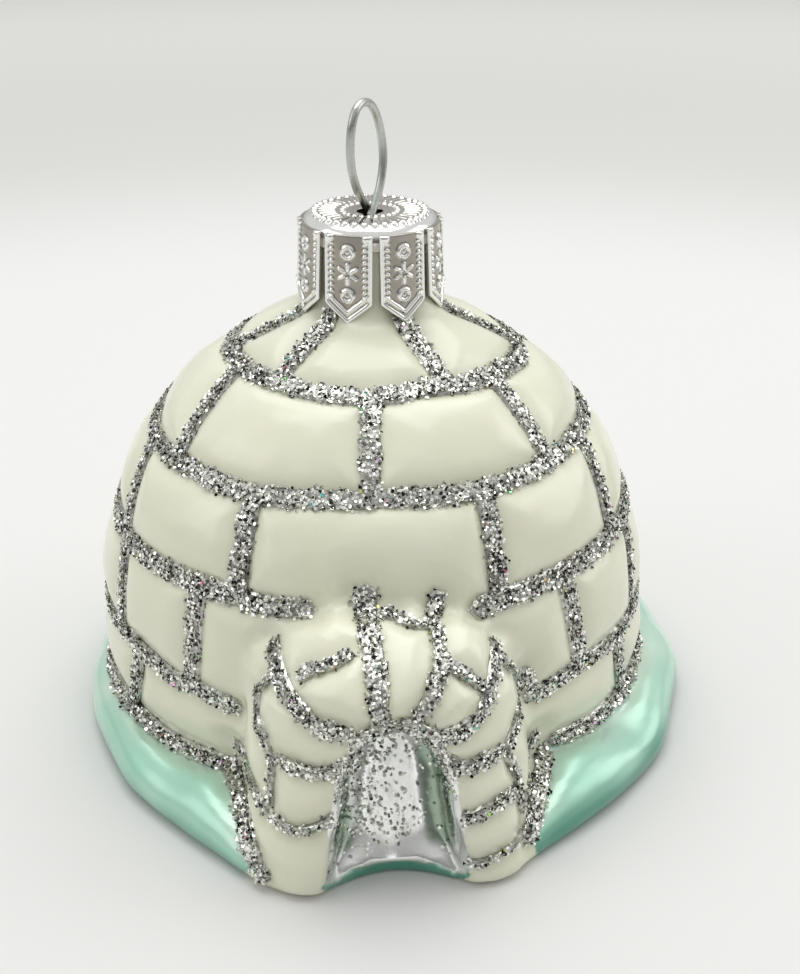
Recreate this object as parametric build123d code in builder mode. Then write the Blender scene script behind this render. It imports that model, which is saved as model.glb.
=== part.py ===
from build123d import *
from itertools import accumulate
from math import asin, atan2, cos, degrees, radians, sin, sqrt, tan
import os

# A mould-blown glass tree ornament in the shape of an igloo, with its pressed
# metal cap and wire hanging loop. The doorway faces -Y, the dome's axis is Z
# and the ornament stands on Z = 0. All sizes are in millimetres.

# Driving dimensions
wall = 1.1              # glass thickness
foot_z = 6.1            # height of the line where the dome meets its teal foot
dome_r = 32.8           # dome radius at the foot line
dome_rise = 45.0        # height the dome would reach above the foot line without its neck
swell = 2.85            # how long the dome's side stays steep, going up
crown = 1.52            # how full its crown is
course_parts = (7.6, 12.3, 10.7, 7.6, 4.0)    # heights of the block courses in proportion, from below
pillow = 0.075          # bulge of a block, as a share of its height
bevel = 0.24            # and of the sloping edges round it

neck_r = 7.2            # glass neck inside the cap
neck_flare = 1.1        # how far the dome's crown reaches out past it
neck_dip = 0.75         # and drops, beside the plain curve of the dome
neck_blend = 1.3        # height of the slope between crown and neck
neck_len = 11.5
lip_bevel = 0.9         # melted rim of the neck

bead_r = 2.4            # roundness of a line of glitter glue
bead_sink = 1.75        # depth of that round's centre under the glass
glue_w = 3.0            # width of an upright line
glue_h = 0.65           # and how far it stands out
porch_glue_w = 2.5      # width of the lines on the porch
cross_glue_w = 1.8      # and of the short ones across its hood
sill_glue_w = 1.2       # and of the thin one low on its right foot

beyond = 60.0           # longer than any cut needs to be

porch_x = -1.2          # the porch sits a little left of the dome's axis
porch_reach = 10.2      # how far its front stands out past the dome at the ground
brow_reach = 9.2        # and at the brow
porch_root = 8.8        # how far its walls run back into the dome
porch_z = 0.9           # where the walls start, on the foot
brow_z = 19.4           # where they end and the hood begins
ground_halves, ground_corner = (17.4, 14.4), 5.0    # half widths at the back and front
brow_halves, brow_corner = (14.2, 12.6), 11.5
hood_r = 13.5
hood_set = 4.3          # how far inside the dome's foot line the hood's middle lies
hood_rise = 7.6
brow_climb = 17.0       # angle at which the brow line climbs to each side

door_half = 6.5         # half the doorway's width at the floor
door_lean = 0.7         # how far each side has leaned in at the spring of the arch
door_spring_z = 11.1
door_top_z = 18.2
door_floor_z = 1.9
door_depth = 8.5
door_lining = 0.8       # glass behind the doorway's silvering
door_round = 2.4        # rounding at its back
step_r = 7.5            # scooped front edge between the two feet
step_reach = 4.4

keystone_xs = (-2.2, 3.8)   # upright lines on the hood, from the porch's middle
cross_lines = (((-9.2, 3.6), (-3.9, 6.0)),  # short lines across the hood, each from and to
               ((4.9, 5.4), (9.0, 3.0)))    # a place beside and above the brow's middle
porch_line_zs = (8.4, 14.4) # course lines round the porch walls
sill_line_z = 3.6
corner_in = 0.29        # how far round its rounded corner a wall's upright line runs

foot_lip = 0.2          # foot's reach past the porch's front
foot_aprons = ((0, porch_reach + foot_lip), (52, 4.2), (95, 5.4), (140, 3.2), (180, 2.7),
               (220, 3.2), (265, 2.4), (302, 3.5))   # bearing from the doorway, width
foot_corner_r = 12.0
foot_run = 15.2         # how far out the foot's sloping top would run
foot_edge_z = 1.0       # and the height it would end at there
foot_roll = 1.1         # rounding of the foot's upper edge
foot_hem = 0.7          # bevel underneath
floor_t = 1.2           # glass under the foot

cap_sheet = 0.35
cap_play = 0.2          # between the cap and the neck
cap_len = 10.65
cap_skirt = 2.75        # plain band above the prongs
cap_flare = 0.4
cap_round = 1.2
cap_hole_r = 1.5
prong_count = 8
prong_gap = 0.8
prong_tip_h = 2.2
rib_count = 36          # pressed grooves round the cap's top
rib_w = 0.45
rib_depth = 0.15
rib_in, rib_out = 4.4, 6.4  # radii they run between

wire_r = 0.475
loop_half_w = 4.0
loop_h = 12.45          # loop above the cap
loop_waist_h = 4.85     # where its sides stop spreading, above the cap
loop_crown_r, loop_waist_r, leg_bend_r = 3.8, 5.0, 1.2
loop_turn = 57.0        # bearing of the loop's plane from +X at rest
wire_gap = 0.05         # between the two legs where they cross
leg_len = 9.15          # sprung legs below the cap's top
leg_clearance = 0.3     # between them and the neck's bore

# Places that follow from them
neck_foot_z = (foot_z - neck_dip
               + dome_rise * (1 - ((neck_r + neck_flare) / dome_r) ** crown) ** (1 / swell))
neck_h = neck_foot_z + neck_len
course_tops = [foot_z + (neck_foot_z - foot_z) * part / sum(course_parts)
               for part in accumulate(course_parts)]
line_heights = course_tops[:-1]
porch_front_y = -dome_r - porch_reach
porch_back_y = porch_root - dome_r
hood_y = hood_set - dome_r
hood_ball_r = (hood_r ** 2 + hood_rise ** 2) / (2 * hood_rise)
door_back_y = porch_front_y + door_depth
ground_plan = (*ground_halves, porch_front_y, ground_corner)
brow_plan = (*brow_halves, -dome_r - brow_reach, brow_corner)
foot_sides = [(bearing, dome_r + apron) for bearing, apron in foot_aprons]
cap_top_z = neck_h + cap_sheet
cap_rim_r = neck_r + cap_play + cap_sheet
cap_bottom_z = cap_top_z - cap_len


def line_radius(z):
    """Radius of the dome at a glitter line."""
    share = (z - foot_z) / dome_rise
    return dome_r * (1 - share ** swell) ** (1 / crown)


def line_normal(z):
    """Direction across and up, square to the dome at a glitter line."""
    share = (z - foot_z) / dome_rise
    slope = (dome_r * swell / crown / dome_rise * share ** (swell - 1)
             * (1 - share ** swell) ** (1 / crown - 1))
    length = sqrt(1 + slope ** 2)
    return 1 / length, slope / length


line_normals = [line_normal(z) for z in (foot_z, *line_heights)]
line_points = [(dome_r, foot_z)] + [(line_radius(z), z) for z in line_heights]
crown_point = (neck_r + neck_flare, neck_foot_z)
crown_normal = line_normals[-1]     # near enough where the crown turns into the neck
course_points = line_points + [crown_point]


def course_run(low, high):
    """One course of blocks in profile: a raised flat between two sloping edges."""
    (r0, z0), (r1, z1) = low, high
    run_r, run_z = r1 - r0, z1 - z0
    near, far = ((r0 + share * run_r + pillow * run_z, z0 + share * run_z - pillow * run_r)
                 for share in (bevel, 1 - bevel))
    return Polyline(low, near, far, high)


# --- Construction bodies ------------------------------------------------

with BuildPart() as dome_body:
    with BuildSketch(Plane.XZ):
        with BuildLine():
            for low, high in zip(course_points, course_points[1:]):
                course_run(low, high)
            Polyline(crown_point, (neck_r, neck_foot_z + neck_blend), (neck_r, neck_h - lip_bevel),
                     (neck_r - lip_bevel, neck_h), (0, neck_h), (0, foot_z), (dome_r, foot_z))
        make_face()
    revolve(axis=Axis.Z)

with BuildPart() as dome_hollow:
    with BuildSketch(Plane.XZ):
        with BuildLine():
            inner = [(r - wall * across, z - wall * up)
                     for (r, z), (across, up) in zip(line_points, line_normals)]
            Polyline(*inner, (neck_r - wall, neck_foot_z - wall), (neck_r - wall, neck_h),
                     (0, neck_h), (0, foot_z), inner[0])
        make_face()
    revolve(axis=Axis.Z)


def side_corner(first, second):
    """Where two straight sides of the foot's outline would meet."""
    (a, d), (b, e) = first, second
    a, b = radians(a), radians(b)
    turn = sin(b - a)
    return ((d * cos(b) - e * cos(a)) / -turn, (d * sin(b) - e * sin(a)) / -turn)


foot_corners = [side_corner(a, b) for a, b in zip(foot_sides, foot_sides[1:] + foot_sides[:1])]


with BuildPart() as foot_body:
    with BuildSketch():
        Polygon(*foot_corners, align=None)
        fillet(vertices(), foot_corner_r)
    extrude(amount=foot_z)
    with BuildSketch(Plane.XZ):
        with BuildLine():
            foot_edge = (dome_r + foot_run, foot_edge_z)
            Polyline((0, 0), (0, foot_z), (dome_r, foot_z), foot_edge, (foot_edge[0], 0), (0, 0))
        make_face()
    revolve(axis=Axis.Z, mode=Mode.INTERSECT)
    slope = foot_body.faces().filter_by(GeomType.CONE)[0]
    rim = slope.edges().filter_by(GeomType.LINE, reverse=True).sort_by(Axis.Z)[:-1]
    fillet(rim, foot_roll)
    chamfer(foot_body.faces().sort_by(Axis.Z)[0].edges(), foot_hem)

with BuildPart() as foot_hollow:
    with BuildSketch(Plane.XZ):
        rim_r = min(distance for _, distance in foot_sides) - wall
        Polygon((0, floor_t), (rim_r, floor_t), (rim_r, foot_z - 2 * wall),
                (dome_r - wall, foot_z - wall), (dome_r - wall, foot_z), (0, foot_z), align=None)
    revolve(axis=Axis.Z)


def porch_level(z, inset=0.0):
    """Plan of the porch at a height: half widths at back and front, front, corner."""
    share = (z - porch_z) / (brow_z - porch_z)
    back, front, y, corner = [g + (b - g) * share for g, b in zip(ground_plan, brow_plan)]
    return back - inset, front - inset, y + inset, max(corner - inset, 0.5)


def porch_walk(z, inset=0.0):
    """Line round the porch's two sides and front at a height."""
    back, front, y, corner = porch_level(z, inset)
    return FilletPolyline((porch_x - back, porch_back_y), (porch_x - front, y),
                          (porch_x + front, y), (porch_x + back, porch_back_y), radius=corner)


def porch_mass(inset):
    """Walls and hood of the porch, drawn in by an inset."""
    with BuildPart() as mass:
        for z in (porch_z, brow_z):
            with BuildSketch(Plane.XY.offset(z)):
                with BuildLine():
                    walk = porch_walk(z, inset)
                    Line(walk @ 1, walk @ 0)
                make_face()
        loft(ruled=True)
        hood_drop = hood_ball_r - hood_rise
        with Locations((porch_x, hood_y, brow_z)):
            Sphere(hood_ball_r - inset, arc_size1=degrees(asin(hood_drop / (hood_ball_r - inset))),
                   align=(Align.CENTER, Align.CENTER, Align.MIN))
    return mass.part


porch_body = porch_mass(0)
porch_hollow = porch_mass(wall)


def door_recess(grow):
    """The doorway's recess, or with a growth the glass that lines it."""
    floor_half = door_half + grow
    spring_half = door_half - door_lean + grow
    start_y = porch_front_y - wall          # clear in front of the porch
    front = Plane((porch_x, start_y, 0), x_dir=(-1, 0, 0), z_dir=(0, 1, 0))
    with BuildPart() as recess:
        with BuildSketch(front):
            with BuildLine():
                Polyline((-spring_half, door_spring_z), (-floor_half, door_floor_z - grow),
                         (floor_half, door_floor_z - grow), (spring_half, door_spring_z))
                ThreePointArc((spring_half, door_spring_z), (0, door_top_z + grow),
                              (-spring_half, door_spring_z))
            make_face()
        extrude(amount=door_back_y + grow - start_y)
        fillet(recess.faces().sort_by(Axis.Y)[-1].edges(), door_round + grow)
    return recess.part


door_void = door_recess(0)
door_shell = door_recess(door_lining)

with BuildPart() as step_scoop:
    with Locations((porch_x, porch_front_y + step_reach - step_r, -1)):
        Cylinder(step_r, foot_z + 2, align=(Align.CENTER, Align.CENTER, Align.MIN))

# --- Blown glass, parted along its paint lines ----------------------------

os.makedirs("parts", exist_ok=True)


def save(piece, name):
    """Label a finished piece and write it."""
    piece.part.label = name
    export_step(piece.part, f"parts/{name}.step")


with BuildPart() as dome_glass:
    add(dome_body)
    add(dome_hollow, mode=Mode.SUBTRACT)

with BuildPart() as porch_glass:
    add(porch_body)
    for taken in (dome_body.part, foot_body.part, door_shell, porch_hollow):
        add(taken, mode=Mode.SUBTRACT)

with BuildPart() as doorway_niche:
    add(door_shell)
    add(door_void, mode=Mode.SUBTRACT)
    add(porch_body, mode=Mode.INTERSECT)
    add(step_scoop, mode=Mode.SUBTRACT)

with BuildPart() as foot_glass:
    add(foot_body)
    for taken in (foot_hollow.part, door_shell, step_scoop.part):
        add(taken, mode=Mode.SUBTRACT)


# --- Lines of glitter glue, lying in the joints between the blocks ----------

course_bearings = (                       # upright joints, from the doorway, lowest course first
    (-62, 57, 104, 156, 208, 256),
    (-70, -42, 39, 66, 118, 170, 226),
    (-75, -33, 22, 61, 113, 165, 225),
    (-65, -5, 46.5, 106, 168, 232),
    (-81, -42, 24, 85, 145, 210),
)

bead_points = [(r - bead_sink * across, z - bead_sink * up)
               for (r, z), (across, up) in zip(line_points, line_normals)]


def bead_ring(index):
    """Whole round of the glitter line at one height."""
    with BuildPart() as ring:
        with BuildSketch(Plane.XZ):
            with Locations(bead_points[index]):
                Circle(bead_r)
        revolve(axis=Axis.Z)
    return ring.part


bead_rings = [bead_ring(index) for index in range(len(line_points))]

for index, ring in enumerate(bead_rings):
    with BuildPart() as glitter_line:
        add(ring)
        for taken in (dome_body.part, foot_body.part, porch_body):
            add(taken, mode=Mode.SUBTRACT)
    save(glitter_line, "glitter_foot_line" if index == 0 else f"glitter_line_{index}")

raised_points = [(r + glue_h * across, z + glue_h * up)
                 for (r, z), (across, up) in zip(course_points, line_normals + [crown_normal])]

for index, bearings in enumerate(course_bearings):
    with BuildPart() as glue_band:
        with BuildSketch(Plane.XZ):
            with BuildLine():
                under = course_run(*course_points[index:index + 2])
                over = course_run(*raised_points[index:index + 2])
                Line(under @ 0, over @ 0)
                Line(under @ 1, over @ 1)
            make_face()
        revolve(axis=Axis.Z)
    with BuildPart() as glitter_joints:
        for bearing in bearings:
            turn = radians(bearing)
            upright = Plane((0, 0, 0), x_dir=(sin(turn), -cos(turn), 0),
                            z_dir=(-cos(turn), -sin(turn), 0))
            with BuildSketch(upright):
                Rectangle(beyond, beyond, align=Align.MIN)
            extrude(amount=glue_w / 2, both=True)
        add(glue_band, mode=Mode.INTERSECT)
        for taken in (foot_body.part, porch_body, *bead_rings[index:index + 2]):
            add(taken, mode=Mode.SUBTRACT)
    save(glitter_joints, f"glitter_joints_{index + 1}")


with BuildPart() as porch_skin:
    add(porch_mass(-glue_h))
    for taken in (porch_body, dome_body.part, foot_body.part, door_shell, *bead_rings[:3]):
        add(taken, mode=Mode.SUBTRACT)


def level_slab(z, width=porch_glue_w):
    """Flat slab, as thick as a line of glue, at a height on the porch."""
    return Pos(porch_x, hood_y, z) * Box(beyond, beyond, width)


def on_porch(places, leave_out):
    """Lines of glue on the porch: its skin within some places and out of others."""
    with BuildPart() as line:
        add(places)
        add(porch_skin, mode=Mode.INTERSECT)
        add(leave_out, mode=Mode.SUBTRACT)
    return line


porch_front = Plane((porch_x, hood_y, brow_z), x_dir=(1, 0, 0), z_dir=(0, -1, 0))

with BuildPart() as brow_band:
    with BuildSketch(porch_front):
        climb = beyond / 2 * tan(radians(brow_climb))
        with BuildLine():
            low = Polyline((-beyond / 2, climb), (0, 0), (beyond / 2, climb))
            offset(low, amount=porch_glue_w / 2, side=Side.BOTH)
        make_face()
    extrude(amount=beyond / 2)

with BuildPart() as above_brow:
    with BuildSketch(porch_front):
        Polygon((-beyond / 2, climb), (0, 0), (beyond / 2, climb), (beyond / 2, beyond),
                (-beyond / 2, beyond), align=None)
    extrude(amount=beyond / 2)

with BuildPart() as cross_bands:
    with BuildSketch(porch_front):
        for (start_x, start_z), (end_x, end_z) in cross_lines:
            run_x, run_z = end_x - start_x, end_z - start_z
            with Locations((start_x + run_x / 2, start_z + run_z / 2)):
                SlotOverall(sqrt(run_x ** 2 + run_z ** 2), cross_glue_w,
                            rotation=degrees(atan2(run_z, run_x)))
    extrude(amount=beyond / 2)

brow_slab = brow_band.part
hood_side = above_brow.part
save(on_porch([brow_slab], [step_scoop.part]), "glitter_porch_brow")
keystone_slabs = [Pos(porch_x + aside, hood_y, brow_z)
                  * Box(porch_glue_w, beyond, beyond, align=(Align.CENTER, Align.CENTER, Align.MIN))
                  for aside in keystone_xs]
save(on_porch([*keystone_slabs, cross_bands.part], [brow_slab]), "glitter_keystones")

foot_skin = Pos(0, 0, porch_glue_w) * foot_body.part
for side, name in ((-1, "left"), (1, "right")):
    low, high = porch_level(porch_z), porch_level(brow_z)
    low_corner, high_corner = (Vector(porch_x + side * (front - corner * corner_in),
                                      y + corner * corner_in, z)
                               for (_, front, y, corner), z in ((low, porch_z), (high, brow_z)))
    corner_plane = Plane(low_corner, x_dir=(1, side, 0), z_dir=high_corner - low_corner)
    corner_slab = corner_plane * Box(porch_glue_w, 2 * ground_corner, 2 * brow_z,
                                     align=(Align.CENTER, Align.CENTER, Align.MIN))
    side_half = Pos(porch_x + side * door_half, 0, 0) * Box(
        beyond, 2 * beyond, beyond,
        align=(Align.MAX if side < 0 else Align.MIN, Align.CENTER, Align.MIN))
    wall_side = Pos(0, porch_front_y + ground_corner, 0) * Box(
        2 * beyond, beyond, beyond, align=(Align.CENTER, Align.MIN, Align.CENTER)) & side_half
    ground_slab = foot_skin & wall_side
    course_slabs = [level_slab(z) & side_half for z in porch_line_zs]
    if side > 0:
        course_slabs.append(level_slab(sill_line_z, sill_glue_w) & side_half)
    save(on_porch([corner_slab], [brow_slab, hood_side, ground_slab]), f"glitter_corner_{name}")
    save(on_porch(course_slabs, [brow_slab, hood_side, ground_slab, corner_slab]),
         f"glitter_porch_lines_{name}")
    save(on_porch([ground_slab], [brow_slab]), f"glitter_ground_{name}")

for piece, name in ((dome_glass, "dome_glass"), (porch_glass, "porch_glass"),
                    (doorway_niche, "doorway_niche"), (foot_glass, "foot_glass")):
    save(piece, name)

# --- Cap ------------------------------------------------------------------

with BuildPart() as cap:
    with BuildSketch(Plane.XZ):
        with BuildLine():
            outer = FilletPolyline((cap_hole_r, cap_top_z), (cap_rim_r, cap_top_z),
                                   (cap_rim_r + cap_flare, cap_bottom_z), radius=cap_round)
            inner = FilletPolyline((cap_hole_r, neck_h), (cap_rim_r - cap_sheet, neck_h),
                                   (cap_rim_r + cap_flare - cap_sheet, cap_bottom_z),
                                   radius=cap_round - cap_sheet)
            Line(outer @ 0, inner @ 0)
            Line(outer @ 1, inner @ 1)
        make_face()
    revolve(axis=Axis.Z)
    with Locations((0, 0, cap_top_z)):
        with PolarLocations((rib_in + rib_out) / 2, rib_count):
            Box(rib_out - rib_in, rib_w, 2 * rib_depth, mode=Mode.SUBTRACT)
    half_pitch = (cap_rim_r + cap_flare) * sin(radians(180 / prong_count))
    prong_root_z = cap_top_z - cap_skirt
    tip_z = cap_bottom_z + prong_tip_h
    for step in range(prong_count):
        turn = radians(360 / prong_count * step)
        gap_plane = Plane((0, 0, 0), x_dir=(cos(turn), sin(turn), 0),
                          z_dir=(sin(turn), -cos(turn), 0))
        with BuildSketch(gap_plane):
            Polygon((-prong_gap / 2, prong_root_z), (prong_gap / 2, prong_root_z),
                    (prong_gap / 2, tip_z), (half_pitch, cap_bottom_z),
                    (-half_pitch, cap_bottom_z), (-prong_gap / 2, tip_z), align=None)
        extrude(amount=beyond, mode=Mode.SUBTRACT)
save(cap, "cap")

# --- Hanging loop -----------------------------------------------------------

hole_z = neck_h + cap_sheet / 2
waist_z = cap_top_z + loop_waist_h
leg_half = neck_r - wall - wire_r - leg_clearance
knee_z = hole_z - leg_half * (waist_z - hole_z) / loop_half_w
leg_end_z = cap_top_z - leg_len
side_step = wire_r + wire_gap / 2
top_z = cap_top_z + loop_h - wire_r
plane_turn = radians(loop_turn)


def loop_place(along, aside, z):
    """Point of the wire from its place along and aside of the loop's plane."""
    return (along * cos(plane_turn) - aside * sin(plane_turn),
            along * sin(plane_turn) + aside * cos(plane_turn), z)


with BuildPart() as hanger_wire:
    with BuildLine() as wire_run:
        FilletPolyline(
            loop_place(-leg_half, side_step, leg_end_z),
            loop_place(-leg_half, side_step, knee_z),
            loop_place(loop_half_w, side_step, waist_z),
            loop_place(loop_half_w, side_step, top_z),
            loop_place(-loop_half_w, -side_step, top_z),
            loop_place(-loop_half_w, -side_step, waist_z),
            loop_place(leg_half, -side_step, knee_z),
            loop_place(leg_half, -side_step, leg_end_z),
            radius=(leg_bend_r, loop_waist_r, loop_crown_r,
                    loop_crown_r, loop_waist_r, leg_bend_r))
    with BuildSketch(Plane(wire_run.line @ 0, z_dir=wire_run.line % 0)):
        Circle(wire_r)
    sweep(path=wire_run.line)
save(hanger_wire, "hanger_wire")
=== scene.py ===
"""Looks of the igloo tree ornament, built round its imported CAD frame.

All forms are worked out in millimetres in the frame's axes and written in metres.
"""
import math

import bpy
import numpy as np
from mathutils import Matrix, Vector, noise
from mathutils.kdtree import KDTree


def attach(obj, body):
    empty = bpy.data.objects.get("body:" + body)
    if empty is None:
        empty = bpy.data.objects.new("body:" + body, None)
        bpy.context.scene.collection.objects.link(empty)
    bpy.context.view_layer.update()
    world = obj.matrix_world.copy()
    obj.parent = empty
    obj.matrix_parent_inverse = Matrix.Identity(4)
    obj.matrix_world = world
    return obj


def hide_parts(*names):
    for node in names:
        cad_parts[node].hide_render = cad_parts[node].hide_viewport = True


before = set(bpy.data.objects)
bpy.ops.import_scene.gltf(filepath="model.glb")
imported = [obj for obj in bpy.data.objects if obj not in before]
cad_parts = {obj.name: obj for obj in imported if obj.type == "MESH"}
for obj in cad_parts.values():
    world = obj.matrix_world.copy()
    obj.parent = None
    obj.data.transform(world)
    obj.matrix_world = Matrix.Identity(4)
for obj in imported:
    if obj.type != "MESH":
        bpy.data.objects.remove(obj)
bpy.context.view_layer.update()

MM = 0.001
GRID = 0.55  # spacing of the glass's mesh
TRACE = 0.5  # spacing of points along a line of glue

# --- Sizes, in millimetres ---

DOME_R, DOME_RISE, FOOT_Z = 32.8, 45.0, 6.1
SWELL, CROWN = 2.85, 1.52  # how full the dome's side and crown are
NECK_R, NECK_H, LIP_ROUND, NECK_BLEND = 7.2, 59.8, 0.9, 2.5
GLASS = 0.5  # thickness of the modelled glass
BORE_R, BORE_Z = 6.1, 50.0  # the open neck

# The foot's sides, each its bearing from the doorway and its distance.
FOOT_SIDES = ((0, 43.2), (36, 40.5), (48, 40.2), (70, 38.6), (95, 38.3), (140, 36.0),
              (180, 35.5), (220, 36.0), (265, 35.2), (288, 36.4), (311, 38.7))
FOOT_SOFT, FOOT_EDGE_R, FOOT_EDGE_Z, FOOT_ROLL, FOOT_HEM = 1.3, 48.0, 3.4, 3.8, 2.4
# Its soft lobes: x, y, reach and height.
FOOT_DENTS = ((19.0, -29.5, 4.5, 0.55), (27.5, -23.0, 3.6, -0.65), (33.0, -14.0, 4.5, 0.5),
              (34.5, -4.0, 4.5, 0.4), (-20.5, -31.0, 4.0, 0.45), (-25.0, -25.5, 4.0, -0.35),
              (-30.5, -15.0, 4.5, 0.35), (0.0, 34.0, 6.0, 0.4), (-33.0, 12.0, 5.0, 0.4),
              (31.0, 17.0, 5.0, -0.4))

PORCH_X, PORCH_BACK_Y, PORCH_Z, BROW_Z = -1.2, -24.0, 0.6, 19.4
PORCH_END_Y = -18.0  # the porch stops inside the dome
GROUND_PLAN = (17.4, 14.4, -43.0, 5.0)  # half width at the back and front, front, corner
BROW_PLAN = (14.2, 12.6, -42.0, 11.5)
HOOD_R, HOOD_Y, HOOD_RISE = 13.5, -28.5, 7.6

DOOR_HALF, DOOR_LEAN, DOOR_SPRING_Z, DOOR_TOP_Z = 6.4, 1.0, 10.0, 18.6
DOOR_FLOOR_Z, DOOR_BACK_Y, DOOR_ROUND, DOOR_LIP = 1.9, -34.2, 2.6, 2.4
DOOR_SLANT, SLANT_RISE = 5.2, 13.0  # the recess's back comes forward at its foot
STEP_R, STEP_REACH, STEP_TOP_Z, STEP_HALF = 8.8, 3.2, 7.0, 6.0
SILVER_OUT = 0.7  # how far the doorway's silver comes out round its edge
NICHE_IN = 1.3  # how far in its edge the doorway's own piece begins
PORCH_BLEND, FOOT_BLEND, STEP_BLEND = 1.4, 0.6, 1.4
MESH_LOW, MESH_HIGH = (-37.5, -45.0, -1.0), (40.5, 37.0, 61.0)

# Lines of glitter glue on the dome. A ring is its node's name after glitter_, its width and
# places, each a bearing from the doorway and a height; a joint is its bearing at its course's
# foot and head.
RINGS = (
    ("foot_line", 1.75,
     (32, 7.0), (50, 6.0), (76, 6.1), (120, 6.1), (240, 6.1), (290, 6.1), (310, 5.9), (327, 6.2)),
    ("line_1", 1.95,
     (25.5, 17.6), (26.5, 15.2), (28, 14.0), (39, 14.8), (56, 14.7), (80, 15.0), (130, 13.8),
     (210, 13.6), (270, 14.6), (298, 15.2), (314, 14.3), (320, 14.4), (329.5, 13.5)),
    ("line_2", 2.25,
     (15, 25.5), (30, 26.1), (58, 26.5), (110, 26.2), (180, 25.8), (250, 26.2), (293, 26.1),
     (318, 26.3), (334, 26.0), (344, 26.3)),
    ("line_3", 2.15,
     (-184, 36.5), (-120, 36.8), (-81, 36.0), (-58, 36.2), (-34, 36.0), (-5, 36.6), (27, 36.4),
     (60, 36.9), (110, 36.4), (184, 36.5)),
    ("line_4", 2.25,
     (-184, 44.3), (-120, 44.6), (-82, 44.9), (-41, 44.8), (-5, 44.5), (15, 44.9), (35, 44.6),
     (56, 44.5), (80, 44.2), (130, 44.6), (184, 44.3)),)
RIM_Z = 50.4  # where the uppermost joints run under the cap
JOINTS = (((-63, -59), (59, 55), (104, 106), (156, 155), (208, 210), (256, 254)),
          ((-67, -70), (-42, -42), (40, 38), (64, 69), (118, 119), (170, 168), (226, 228)),
          ((-71, -79), (-32.4, -33.6), (21.1, 22.6), (58, 65), (113, 111), (165, 167), (225, 223)),
          ((-62, -67), (-5, -5), (45.5, 47), (106, 107), (168, 166), (232, 233)),
          ((-87, -78), (-44, -40), (26, 22.5), (88, 84), (145, 147), (210, 208)))
JOINT_WIDTH = 2.3

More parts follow.
